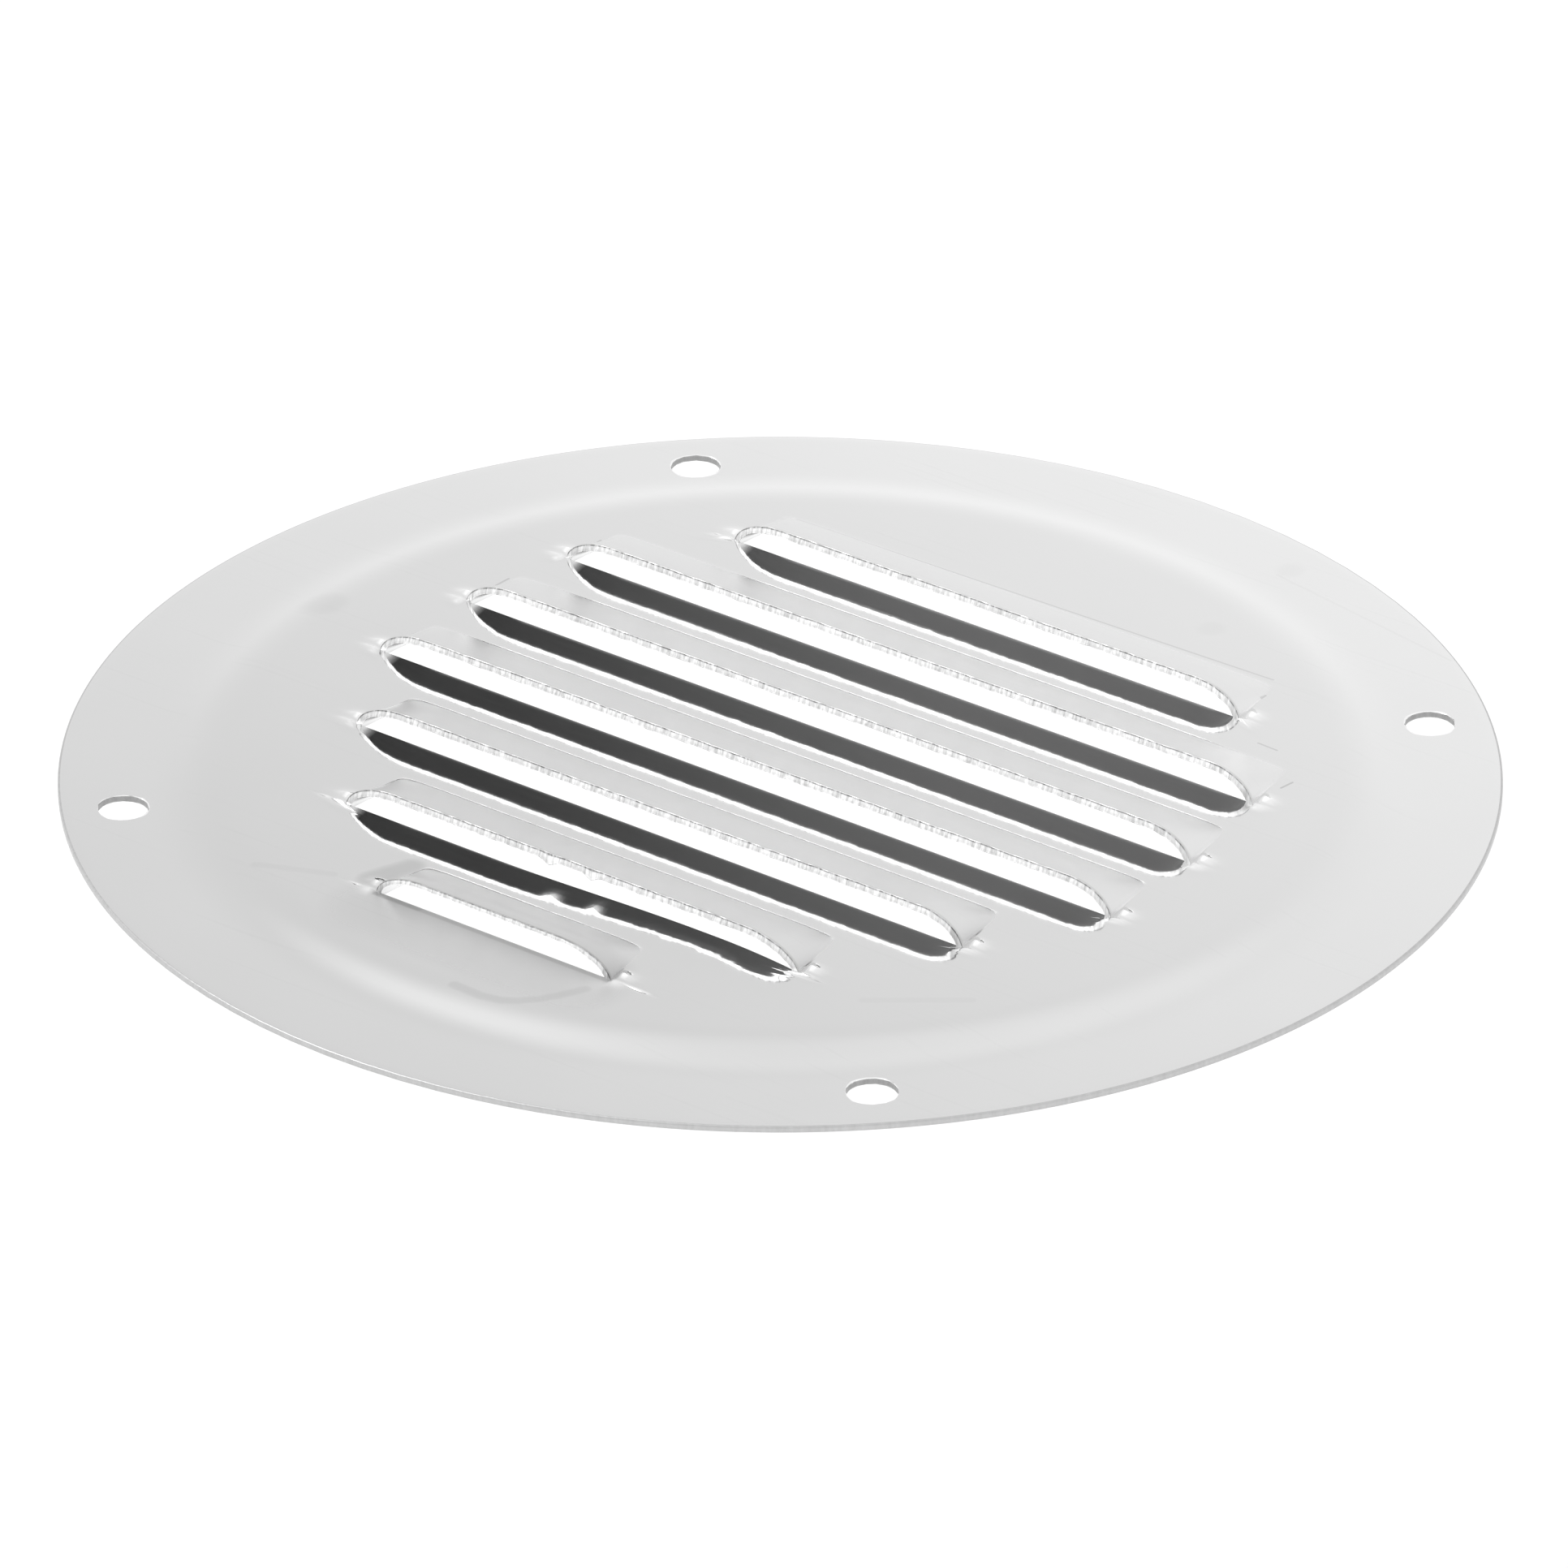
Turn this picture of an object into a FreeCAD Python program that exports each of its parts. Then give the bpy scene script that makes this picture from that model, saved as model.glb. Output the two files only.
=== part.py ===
"""Round louvred vent cover, pressed from one disc of polished stainless sheet.

Frame: millimetres, +Z out of the face, origin at the middle of the flange's back.
X runs along the louvres, and every mouth faces -Y.
"""
import FreeCAD
import Part
import math
import os

from FreeCAD import Vector

# Disc and flange
cover_diameter = 127.0
sheet = 0.6
rim_bevel = 0.2

# Shallow S-bend that lifts the louvred panel off the flange
bend_foot_diameter = 112.0
bend_top_diameter = 97.0
panel_rise = 1.0

# Screw holes, square to each other and at 45 degrees to the louvres
hole_diameter = 4.5
hole_circle_diameter = 116.0
hole_count = 4
hole_first_angle = 45.0

# Louvres, numbered from the far side (+Y): clear lengths of the mouths, each a straight cut along X
louvre_lengths = (55.0, 75.0, 79.0, 79.5, 65.5, 48.5, 24.5)
first_mouth_y = 30.0
louvre_pitch = 12.0
last_pitch = 10.7

# One hood: the clear mouth, the roof that falls back to its fold, and the closed ends
mouth_height = 2.0
roof_slope = 21.0
fold_radius = 4.0
end_slope = 58.0
end_crown_radius = 2.2
end_taper = 1.0

# Room that the hood solids need to cross the faces they are cut from
crown_clearance = 0.05
overrun = 1.0

panel_bottom = panel_rise
panel_top = panel_rise + sheet
hood_height = mouth_height + sheet / math.cos(math.radians(roof_slope))


def line(start, end):
    """Straight edge between two points."""
    return Part.LineSegment(start, end).toShape()


def arc(start, middle, end):
    """Circular edge through three points."""
    return Part.Arc(start, middle, end).toShape()


def section_point(radius, height):
    """Point of the turned section, which lies in the XZ plane."""
    return Vector(radius, 0, height)


def bend_arcs(offset):
    """Two tangent arcs of the S-bend, from the flange up to the panel, off its middle surface by offset.

    Both arcs of the middle surface have the same radius and turn by the same angle, so a surface
    at a constant distance from it is made of arcs about the same two centres.
    """
    foot_radius = bend_foot_diameter / 2
    top_radius = bend_top_diameter / 2
    width = foot_radius - top_radius
    turn = 2 * math.atan2(panel_rise, width)
    radius = width / 2 / math.sin(turn)
    low_centre = section_point(foot_radius, sheet / 2 + radius)
    high_centre = section_point(top_radius, sheet / 2 + panel_rise - radius)

    def low(angle):
        return low_centre + section_point(-math.sin(angle), -math.cos(angle)) * (radius - offset)

    def high(angle):
        return high_centre + section_point(math.sin(angle), math.cos(angle)) * (radius + offset)

    return [arc(low(0), low(turn / 2), low(turn)), arc(high(turn), high(turn / 2), high(0))]


def pressed_disc():
    """Flange, S-bend and plain panel, turned as one section of even thickness."""
    rim_radius = cover_diameter / 2
    foot_radius = bend_foot_diameter / 2
    top_radius = bend_top_diameter / 2
    rim_side = section_point(rim_radius, sheet - rim_bevel)
    rim_top = section_point(rim_radius - rim_bevel, sheet)
    edges = [
        line(section_point(0, panel_bottom), section_point(top_radius, panel_bottom)),
        *bend_arcs(-sheet / 2),
        line(section_point(foot_radius, 0), section_point(rim_radius, 0)),
        line(section_point(rim_radius, 0), rim_side),
        line(rim_side, rim_top),
        line(rim_top, section_point(foot_radius, sheet)),
        *bend_arcs(sheet / 2),
        line(section_point(top_radius, panel_top), section_point(0, panel_top)),
        line(section_point(0, panel_top), section_point(0, panel_bottom)),
    ]
    section = Part.Face(Part.Wire(Part.__sortEdges__(edges)))
    return section.revolve(Vector(0, 0, 0), Vector(0, 0, 1), 360)


def roof_profile(inset, floor):
    """Side outline of a hood in the YZ plane with its mouth at Y = 0, drawn in from the outer skin by inset.

    The roof falls straight from the mouth and runs out through an arc that is tangent to the panel.
    """
    slope = math.radians(roof_slope)
    run = hood_height / math.tan(slope)
    tangent = fold_radius * math.tan(slope / 2)
    centre = Vector(0, run + tangent, panel_top + fold_radius)
    radius = fold_radius + inset

    def fold(angle):
        return centre + Vector(0, -math.sin(angle), -math.cos(angle)) * radius

    mouth_top = Vector(0, 0, panel_top + hood_height - inset / math.cos(slope))
    low_back = Vector(0, fold(0).y, floor)
    low_front = Vector(0, 0, floor)
    edges = [
        line(low_front, mouth_top),
        line(mouth_top, fold(slope)),
        arc(fold(slope), fold(slope / 2), fold(0)),
        line(fold(0), low_back),
        line(low_back, low_front),
    ]
    return Part.Face(Part.Wire(edges))


def end_profile(half_length, y, inset, floor):
    """Outline of a hood seen into its mouth: sloping ends that round over into a level crown."""
    slope = math.radians(end_slope)
    crown = panel_top + hood_height + crown_clearance - inset
    radius = end_crown_radius - inset
    across = inset / math.sin(slope)
    centre_height = crown - radius
    centre_reach = half_length - across - (
        (centre_height - panel_top) / math.tan(slope) + radius / math.sin(slope))

    def corner(side, angle):
        return Vector(side * (centre_reach + radius * math.sin(angle)), y,
                      centre_height + radius * math.cos(angle))

    def foot(side):
        reach = half_length - across + (panel_top - floor) / math.tan(slope)
        return Vector(side * reach, y, floor)

    edges = [
        line(foot(-1), corner(-1, slope)),
        arc(corner(-1, slope), corner(-1, slope / 2), corner(-1, 0)),
        line(corner(-1, 0), corner(1, 0)),
        arc(corner(1, 0), corner(1, slope / 2), corner(1, slope)),
        line(corner(1, slope), foot(1)),
        line(foot(1), foot(-1)),
    ]
    return Part.Wire(edges)


def hood_solid(length, mouth_y, inset, floor):
    """Filled hood: the roof's side outline run along X, trimmed to ends that close in towards the fold."""
    half_length = length / 2 + sheet / math.sin(math.radians(end_slope))
    roof = roof_profile(inset, floor)
    back_y = roof.BoundBox.YMax
    prism = roof.extrude(Vector(2 * (half_length + overrun), 0, 0))
    prism.translate(Vector(-half_length - overrun, 0, 0))
    ends = Part.makeLoft([
        end_profile(half_length, 0, inset, floor),
        end_profile(half_length - end_taper, back_y, inset, floor),
    ], True, True)
    hood = prism.common(ends)
    hood.translate(Vector(0, mouth_y, 0))
    return hood


def mouth_positions():
    """Y of each mouth, evenly pitched apart from the last, which stands closer to keep off the S-bend."""
    positions = [first_mouth_y - louvre_pitch * index for index in range(len(louvre_lengths) - 1)]
    return positions + [positions[-1] - last_pitch]


def screw_holes():
    """Cutters for the screw holes through the flange."""
    cutters = []
    for index in range(hole_count):
        angle = math.radians(hole_first_angle + 360 / hole_count * index)
        reach = hole_circle_diameter / 2
        place = Vector(reach * math.cos(angle), reach * math.sin(angle), -overrun)
        cutters.append(Part.makeCylinder(hole_diameter / 2, panel_top + 2 * overrun, place))
    return cutters


def vent_cover():
    """The whole cover: the pressed disc with raised hoods, hollowed through the sheet, and screw holes."""
    louvres = list(zip(louvre_lengths, mouth_positions()))
    skins = [hood_solid(length, y, 0, panel_top - sheet / 2) for length, y in louvres]
    hollows = [hood_solid(length, y, sheet, panel_bottom - overrun) for length, y in louvres]
    cover = pressed_disc().fuse(skins).cut(hollows + screw_holes()).removeSplitter()
    return cover.Solids[0]


os.makedirs("parts", exist_ok=True)
cover = vent_cover()
cover.exportStep("parts/vent_cover.step")
print("valid", cover.isValid(), "volume mm3", round(cover.Volume, 1), "faces", len(cover.Faces))
print("box", cover.optimalBoundingBox(False, False))
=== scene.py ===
# %% [markdown]
# # A round vent cover
# The cover is one disc of polished stainless sheet: a flat flange with four screw holes, a shallow bend,
# and a raised panel with seven louvres. Its solid was made in CAD and is loaded here as a fixed frame. A
# finer mesh will stand in for it. The solid's box is kept, and gives the rim's radius and the cover's height.

# %% Load the imported part as the fixed frame
import math

import bmesh
import bpy
import numpy as np
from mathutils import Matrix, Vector


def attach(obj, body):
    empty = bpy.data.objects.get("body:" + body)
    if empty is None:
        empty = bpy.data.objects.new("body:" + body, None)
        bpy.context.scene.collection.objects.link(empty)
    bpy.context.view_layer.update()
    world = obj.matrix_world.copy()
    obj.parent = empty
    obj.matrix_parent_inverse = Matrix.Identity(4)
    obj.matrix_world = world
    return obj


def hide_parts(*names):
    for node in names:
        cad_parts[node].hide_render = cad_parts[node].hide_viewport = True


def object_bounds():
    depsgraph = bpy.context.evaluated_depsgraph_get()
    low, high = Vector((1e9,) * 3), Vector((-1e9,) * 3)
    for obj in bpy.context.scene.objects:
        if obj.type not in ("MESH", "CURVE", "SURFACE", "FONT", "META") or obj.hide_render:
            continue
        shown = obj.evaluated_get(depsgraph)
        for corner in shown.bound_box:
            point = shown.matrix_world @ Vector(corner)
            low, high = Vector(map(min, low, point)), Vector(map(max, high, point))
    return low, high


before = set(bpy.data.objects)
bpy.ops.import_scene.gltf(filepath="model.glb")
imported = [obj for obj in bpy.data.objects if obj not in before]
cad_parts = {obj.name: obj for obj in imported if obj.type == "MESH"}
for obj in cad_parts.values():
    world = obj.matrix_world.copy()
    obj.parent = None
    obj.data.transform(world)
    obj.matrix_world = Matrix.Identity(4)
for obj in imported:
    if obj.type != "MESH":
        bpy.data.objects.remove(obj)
cad_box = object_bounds()
print("CAD box in mm", [round(value * 1000, 2) for corner in cad_box for value in corner])

# %% [markdown]
# ## The camera
# The cover lies flat and is seen from the front right, looking down at about 28 degrees through a long
# lens, so the round rim becomes an ellipse about twice as wide as it is high. Such a view could be set by
# eye. These numbers come from fitting the rim and the screw holes, which is surer. A small shift puts the
# cover a little above the middle of the picture.

# %% Camera
MM = 0.001
picture_size = 1932
camera_azimuth = math.radians(37.319)
camera_elevation = math.radians(28.546)
camera_distance = 1.1846
camera_lens = 309.17
origin_in_picture = (961.47, 950.27)


def make_camera():
    """Camera aimed at the origin from azimuth and elevation, shifted to put the origin on its pixel."""
    data = bpy.data.cameras.new("camera")
    data.lens = camera_lens
    data.shift_x = (picture_size / 2 - origin_in_picture[0]) / picture_size
    data.shift_y = (origin_in_picture[1] - picture_size / 2) / picture_size
    back = Vector((math.sin(camera_azimuth) * math.cos(camera_elevation),
                   -math.cos(camera_azimuth) * math.cos(camera_elevation),
                   math.sin(camera_elevation)))
    camera = bpy.data.objects.new("camera", data)
    camera.location = back * camera_distance
    camera.rotation_euler = (-back).to_track_quat("-Z", "Y").to_euler()
    bpy.context.scene.collection.objects.link(camera)
    bpy.context.scene.camera = camera
    return camera


print("camera at", [round(value, 3) for value in make_camera().location])

# %% [markdown]
# ## The sheet
# The real cover starts as a flat disc. One press stroke lifts the panel over a shallow S-bend, cuts seven
# straight slits and pushes the metal behind each slit up into a hood. It could be modelled by pulling faces
# about, but it is surer to work as the press does: a flat grid of points with slits in it, and a height for
# every point. Everything is in millimetres, in the frame's own axes, with X along the louvres and every
# mouth facing -Y.

# %% Disc and bend
rim_radius = cad_box[1].y / MM
cover_height = cad_box[1].z / MM
sheet = 0.6
foot_radius, top_radius = 56.0, 48.5
panel_rise = 1.0
panel_top = panel_rise + sheet


def bend_height(radius):
    """S-bend: 2t^2 up to the middle, then 1 - 2(1 - t)^2, with t from 0 at the foot to 1 at the top."""
    t = np.clip((foot_radius - radius) / (foot_radius - top_radius), 0, 1)
    return panel_rise * np.where(t < 0.5, 2 * t ** 2, 1 - 2 * (1 - t) ** 2)


print("rim radius", round(rim_radius, 2), "mm, height", round(cover_height, 2), "mm")

# %% [markdown]
# ## Seven louvres
# A louvre is a slit with a hood behind it, whose roof falls back from the lip at an even slope and ends in
# a fold. The slits are longest in the middle of the disc, and the nearest hood, which the press struck
# least, is the lowest. One rule for all seven would miss that, so each list below has a value for each
# louvre, nearest first.

# %% Louvres
louvre_lengths = np.array([24.5, 48.5, 65.5, 79.5, 79.0, 75.0, 55.0])
mouth_y = np.array([-40.7, -30.0, -18.0, -6.0, 6.0, 18.0, 30.0])
mouth_halves = louvre_lengths / 2 + sheet
nearest, nearest_height = 0, 2.35
hood_heights = np.full(len(mouth_y), cover_height - panel_top)
hood_heights[nearest] = nearest_height
roof_slope = math.tan(math.radians(21.0))
fold_reaches = hood_heights / roof_slope
print("hood heights", hood_heights.round(3), "mm, folds", fold_reaches.round(2), "mm behind the mouths")

# %% [markdown]
# ## Hoods
# Seen into its mouth, a hood is level in the middle and comes down to the slit's two tips. Straight slopes
# would give a mouth with corners. A curve much like a quarter of an ellipse gives it the round ends of a
# slot, and every end has its own length. The lift is roof times end curve, and a smooth maximum with zero
# rounds it into the panel.

# %% Hoods
end_left = np.array([5.0, 5.5, 5.5, 5.5, 5.5, 5.5, 5.5])
end_right = np.array([6.0, 6.5, 4.8, 4.8, 4.8, 4.8, 4.8])
end_power, end_start, past_fall = 2.1, 0.008, 4
end_taper = 1.0 / 7.6
fold_blend, foot_blend = 0.12, 0.04


def smooth_max(a, b, blend):
    """The larger of a and b, with a parabola for the corner where they differ by less than blend."""
    return np.maximum(a, b) + np.maximum(blend - np.abs(a - b), 0) ** 2 / (4 * blend)


def end_curve(inside, length):
    """Rise of a hood's end, (1 - (1 - t)^p)^(1/p) with t from 0 at the tip to 1 at length inside it.

    It starts a little up its steep foot, and falls straight below zero past the tip.
    """
    start = (1 - (1 - end_start) ** end_power) ** (1 / end_power)
    t = np.clip(end_start + (1 - end_start) * inside / length, end_start, 1)
    rise = (1 - (1 - t) ** end_power) ** (1 / end_power) - start
    return (rise + past_fall * np.minimum(inside, 0)) / (1 - start)


def end_share(x, behind, index):
    """End curve of a hood at x along the mouth and behind it. The hood narrows by end_taper a millimetre."""
    length = np.where(x < 0, end_left[index], end_right[index])
    return end_curve(mouth_halves[index] - end_taper * behind - np.abs(x), length)


def hood_lift(x, behind, index):
    """Lift of a hood at x along the mouth and behind it: roof times end curve, its foot rounded off."""
    roof = smooth_max(hood_heights[index] + foot_blend - roof_slope * behind, 0, fold_blend)
    return smooth_max(roof * end_share(x, behind, index) - foot_blend, 0, foot_blend)


print("lift 1 mm inside a tip", round(float(hood_lift(mouth_halves[3] - 1, 0.0, 3)), 3), "mm")

# %% [markdown]
# ## Marks past the tips
# The lance ran past the ends of some slits and left a fine groove there, and the metal at each tip bulged
# into two small bright lobes. A bump in the material could show them, but real heights also hold in the
# mesh, and light falls on them from any side.

# %% Tip marks
lobe_height, lobe_width, lobe_length, lobe_middle = 0.36, 0.45, 1.1, 0.6
lobes = ((1.15, 1.0), (-0.2, 0.7))
groove_depth, groove_width, groove_fade = 0.12, 0.1, 0.12
overrun_left = np.array([2.6, 2.6, 0.5, 0.5, 0.5, 0.5, 2.2])
overrun_right = np.array([4.0, 0.8, 0.5, 0.5, 0.5, 0.5, 0.5])
mark_rise = 0.3


def from_tip(x, y, index):
    """Distance past a slit's nearer tip and behind its line, and a share that rises from 0 at the tip."""
    past = np.abs(x) - mouth_halves[index]
    return past, y - mouth_y[index], np.clip(past / mark_rise, 0, 1)


def lobe_share(x, y, index):
    """1 on top of the lobes past each tip, falling off as exp(-distance^2) along the slit and across it."""
    past, across, risen = from_tip(x, y, index)
    beside = sum(weight * np.exp(-((across - place) / lobe_width) ** 2) for place, weight in lobes)
    return beside * np.exp(-((past - lobe_middle) / lobe_length) ** 2) * risen


def tip_marks(x, y, index):
    """Height of the lobes, less the groove: exp(-across^2) wide, ending where the lance stopped."""
    past, across, risen = from_tip(x, y, index)
    overrun = np.where(x < 0, overrun_left[index], overrun_right[index])
    groove = groove_depth * np.exp(-(across / groove_width) ** 2)
    groove = groove / (1 + np.exp((past - overrun) / groove_fade))
    return lobe_height * lobe_share(x, y, index) - groove * risen


print("grooves up to", overrun_right.max(), "mm past a tip")

# %% [markdown]
# ## A bent edge and a thin lip
# Two traces of the press on this one cover: the panel's edge in front of the second louvre is bent up
# towards its right end, and the lip of the nearest hood was drawn out thin. They could be sculpted by hand.
# But each is a small change of a height or of the thickness, so each is a function that the next cell adds
# in.

# %% Bent edge and thin lip
bent_front, front_raise, raise_width = 1, 0.5, 2.4
raise_start, raise_run, raise_fall = -8.0, 22.0, 9.0
edge_margin = 0.05
thin_lip, thin_width = 0.4, 0.6


def raised_front(x, y, index):
    """The panel's edge in front of a mouth, bent up towards the mouth's right end.

    It rises as t^2(3 - 2t) along the mouth, falls to the tip as f(2 - f), and dies away as exp(-distance).
    """
    away = mouth_y[index] - y
    t = np.clip((x - raise_start) / raise_run, 0, 1)
    fall = np.clip((mouth_halves[index] - np.abs(x)) / raise_fall, 0, 1)
    share = t ** 2 * (3 - 2 * t) * fall * (2 - fall)
    raised = front_raise * share * np.exp(-np.maximum(away, 0) / raise_width)
    return np.where(away > -edge_margin, raised, 0)


def thickness(x, y, lifted):
    """The sheet, drawn out thin along the lip of the nearest hood as exp(-distance^2)."""
    along = np.clip(end_share(x, 0, nearest), 0, 1)
    drawn = thin_lip * along * np.exp(-((y - mouth_y[nearest]) / thin_width) ** 2)
    return sheet * (1 - np.where(lifted[..., nearest], drawn, 0))


print("edge bent up by", front_raise, "mm, lip drawn down to", round(sheet * (1 - thin_lip), 2), "mm")

# %% [markdown]
# ## Face and back
# All heights add up to the face. A Solidify modifier could give it a thickness, but the two edges of a slit
# need walls of their own, so the back is worked out too: the face moved in along its normal by the sheet's
# thickness.

# %% Face and back


def top_height(x, y, lifted):
    """Height of the face: flange, S-bend, bent edge, tip marks, and the hoods whose slits lie before a point.

    lifted has a column for each louvre, true where the point belongs to the metal behind that slit.
    """
    height = sheet + bend_height(np.hypot(x, y))
    height = height + np.where(lifted[..., bent_front], 0, raised_front(x, y, bent_front))
    for index, line_y in enumerate(mouth_y):
        height = height + tip_marks(x, y, index)
        height = height + np.where(lifted[..., index], hood_lift(x, y - line_y, index), 0)
    return height


def face_and_back(x, y, lifted, step=0.01):
    """Points of the face, and points of the back one sheet thickness below it along the surface normal."""
    z = top_height(x, y, lifted)
    slope_x = (top_height(x + step, y, lifted) - top_height(x - step, y, lifted)) / (2 * step)
    slope_y = (top_height(x, y + step, lifted) - top_height(x, y - step, lifted)) / (2 * step)
    normal = np.stack([-slope_x, -slope_y, np.ones_like(z)], axis=-1)
    normal /= np.linalg.norm(normal, axis=-1, keepdims=True)
    face = np.stack([x, y, z], axis=-1)
    return face, face - thickness(x, y, lifted)[..., None] * normal


no_hood = np.zeros(len(mouth_y), bool)
print("face in the middle of the panel", round(float(top_height(0.0, 0.0, no_hood)), 3), "mm")

# %% [markdown]
# ## The grid of the panel
# An even grid would need far more points. Here rows run along the louvres and bunch up at each slit, where
# the shape changes fastest. A slit has two rows at the same place, one for the panel in front and one for
# the hood behind. The rows end on a circle just inside the S-bend.

# %% Rows
panel_radius = 47.0
roof_rows, gap_rows, row_bunching = 16, 11, 0.9
front_rows, back_rows, pole_bunching = 15, 15, 1.7
on_line = 1e-6


def gathered(start, end, count):
    """Rows from start up to end, without the end: t - c sin(2 pi t) / (2 pi), which bunches at both."""
    t = np.arange(count) / count
    return start + (end - start) * (t - row_bunching * np.sin(2 * np.pi * t) / (2 * np.pi))


def towards_pole(start, sign, count):
    """Rows from a mouth to the panel's edge, even in angle on the circle but bunched at the mouth."""
    first = math.asin(start / panel_radius)
    t = np.linspace(0, 1, count) ** pole_bunching
    return panel_radius * np.sin(first + (sign * math.pi / 2 - first) * t)


def panel_rows():
    """Y of each row, and for each row which mouth's front copy it is (-1 for a row that isn't one)."""
    parts = [towards_pole(mouth_y[0], -1, front_rows)[::-1]]
    folds = mouth_y + fold_reaches
    for start, fold, end in zip(mouth_y[:-1], folds[:-1], mouth_y[1:]):
        parts += [gathered(start, fold, roof_rows), gathered(fold, end, gap_rows)]
    parts += [gathered(mouth_y[-1], folds[-1], roof_rows), towards_pole(folds[-1], 1, back_rows)]
    y = np.concatenate(parts)
    copies = np.full(len(y), -1)
    for index, line_y in enumerate(mouth_y[1:], start=1):
        place = np.flatnonzero(np.abs(y - line_y) < on_line)[0]
        y = np.insert(y, place, line_y)
        copies = np.insert(copies, place, index)
    copies[front_rows - 1] = 0
    return y, copies


row_y, row_copy = panel_rows()
slit_rows = np.flatnonzero(row_copy >= 0)
print("rows", len(row_y), "of which front copies", len(slit_rows))

# %% [markdown]
# ## Columns through the tips
# A slit must end on a point of the grid, or its tip would be ragged. Straight columns would meet the tips
# of one slit and miss the others. So the columns bend: one of them passes through all the tips on its side,
# and its neighbours gather around it.

# %% Columns
tip_reach_in, tip_reach_out, tip_bunching = 7.0, 2.6, 1.5
inside_columns, tip_columns, past_columns, outer_columns = 44, 18, 10, 9
hood_depth, edge_room, squeeze_chord = 8.0, 3.0, 24.0


def tip_column(y, half_chord):
    """Half length of the louvres over y: straight lines through each hood's tip and its back corner.

    It keeps edge_room to the circle. Where the chord gets short, the gathered columns are squeezed with it.
    """
    nodes = np.stack([mouth_y, mouth_y + hood_depth], axis=1).ravel()
    halves = np.stack([mouth_halves, mouth_halves - end_taper * hood_depth], axis=1).ravel()
    squeeze = np.clip(half_chord / squeeze_chord, 0, 1)
    return np.minimum(np.interp(y, nodes, halves), half_chord - edge_room * squeeze), squeeze


def panel_columns(y):
    """X of every column in every row: even along the mouth, bunched at the tip, even again to the edge."""
    half_chord = np.sqrt(np.maximum(panel_radius ** 2 - y ** 2, 0))
    tip, squeeze = (values[:, None] for values in tip_column(y, half_chord))
    inside = np.linspace(0, 1, inside_columns)[None, :-1] * (tip - tip_reach_in * squeeze)
    to_tip = (1 - np.linspace(0, 1, tip_columns)[None, :]) ** tip_bunching
    to_tip = tip - tip_reach_in * squeeze * to_tip
    past_tip = np.linspace(0, 1, past_columns)[None, 1:] ** tip_bunching
    past_tip = tip + tip_reach_out * squeeze * past_tip
    last = past_tip[:, -1:]
    outer = last + (half_chord[:, None] - last) * np.linspace(0, 1, outer_columns)[None, 1:]
    half = np.concatenate([inside, to_tip, past_tip, outer], axis=1)
    tip_index = inside.shape[1] + to_tip.shape[1] - 1
    return np.concatenate([-half[:, :0:-1], half], axis=1), tip_index


panel_x, tip_index = panel_columns(row_y)
panel_y = np.broadcast_to(row_y[:, None], panel_x.shape)
middle_column = panel_x.shape[1] // 2
row_lifted = (row_y[:, None] > mouth_y - on_line) & (row_copy[:, None] != np.arange(len(mouth_y)))
panel_lifted = np.broadcast_to(row_lifted[:, None, :], panel_x.shape + (len(mouth_y),))
panel_face, panel_back = face_and_back(panel_x, panel_y, panel_lifted)
print("panel grid", panel_x.shape, "highest", round(float(panel_face[..., 2].max()), 3))

# %% [markdown]
# ## Lips
# A sheared lip isn't a clean line. Its face edge is rolled over a little, it wavers by a few hundredths of
# a millimetre, and its lower edge carries a torn burr, with two lumps hanging from one of the hoods. Random
# noise could do this, but a sum of sines comes out the same each time. At its tips the slit closes, so
# there the two copies of its row get the same back.

# %% Roll-over and burrs
roll_over, waver, burr = 0.05, 0.035, 0.06
burr_length, lip_run_in = 2.5, 1.5
back_seed, burr_seed = 9, 20
lump_hood, lump_depth, lump_reach = 1, 0.5, 0.45
lumps = ((-2.1, 0.7), (2.5, 0.6))
golden_ratio = 0.618034


def ripple(x, seed, longest=4.0, octaves=6, shorter=1.7, weaker=1.25, whole=2.2):
    """Sum of sines, each shorter and weaker than the last, phases from the golden ratio: about -1 to 1."""
    steps = np.arange(octaves)
    lengths = longest / shorter ** steps
    phases = 2 * np.pi * (golden_ratio * (steps + 1) * (seed + 1) % 1)
    waves = np.sin(2 * np.pi * x[..., None] / lengths + phases) / weaker ** steps
    return waves.sum(axis=-1) / whole


def lump_share(x, behind):
    """1 in the middle of a hanging lump, falling off as exp(-distance^2) along the lip and behind it."""
    beside = sum(np.exp(-((x - place) / width) ** 2) for place, width in lumps)
    return beside * np.exp(-(behind / lump_reach) ** 2)


def roughen_lips():
    """Shifts the lip rows: face edge down by the roll-over, both along y, lower edge down by burrs."""
    for index, front in enumerate(slit_rows):
        row = front + 1
        x = panel_x[row]
        inside = np.clip((mouth_halves[index] - np.abs(x)) / lip_run_in, 0, 1)
        panel_face[row, :, 2] -= roll_over * inside
        panel_face[row, :, 1] += waver * ripple(x, index) * inside
        panel_back[row, :, 1] += waver * ripple(x, index + back_seed) * inside
        torn = np.abs(ripple(x, index + burr_seed, longest=burr_length))
        panel_back[row, :, 2] -= burr * torn * inside
    rows = slice(slit_rows[lump_hood] + 1, slit_rows[lump_hood] + 1 + roof_rows)
    hanging = lump_share(panel_x[rows], panel_y[rows] - mouth_y[lump_hood])
    panel_back[rows, :, 2] -= lump_depth * hanging


def close_tips():
    """Gives both copies of a slit's row the same back from the tips outwards."""
    shut = np.abs(np.arange(panel_x.shape[1]) - middle_column) >= tip_index
    for front in slit_rows:
        panel_back[front + 1, shut] = panel_back[front, shut]


roughen_lips()
close_tips()
print("lips roughened, lowest point of the panel's back", round(float(panel_back[..., 2].min()), 3), "mm")

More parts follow.
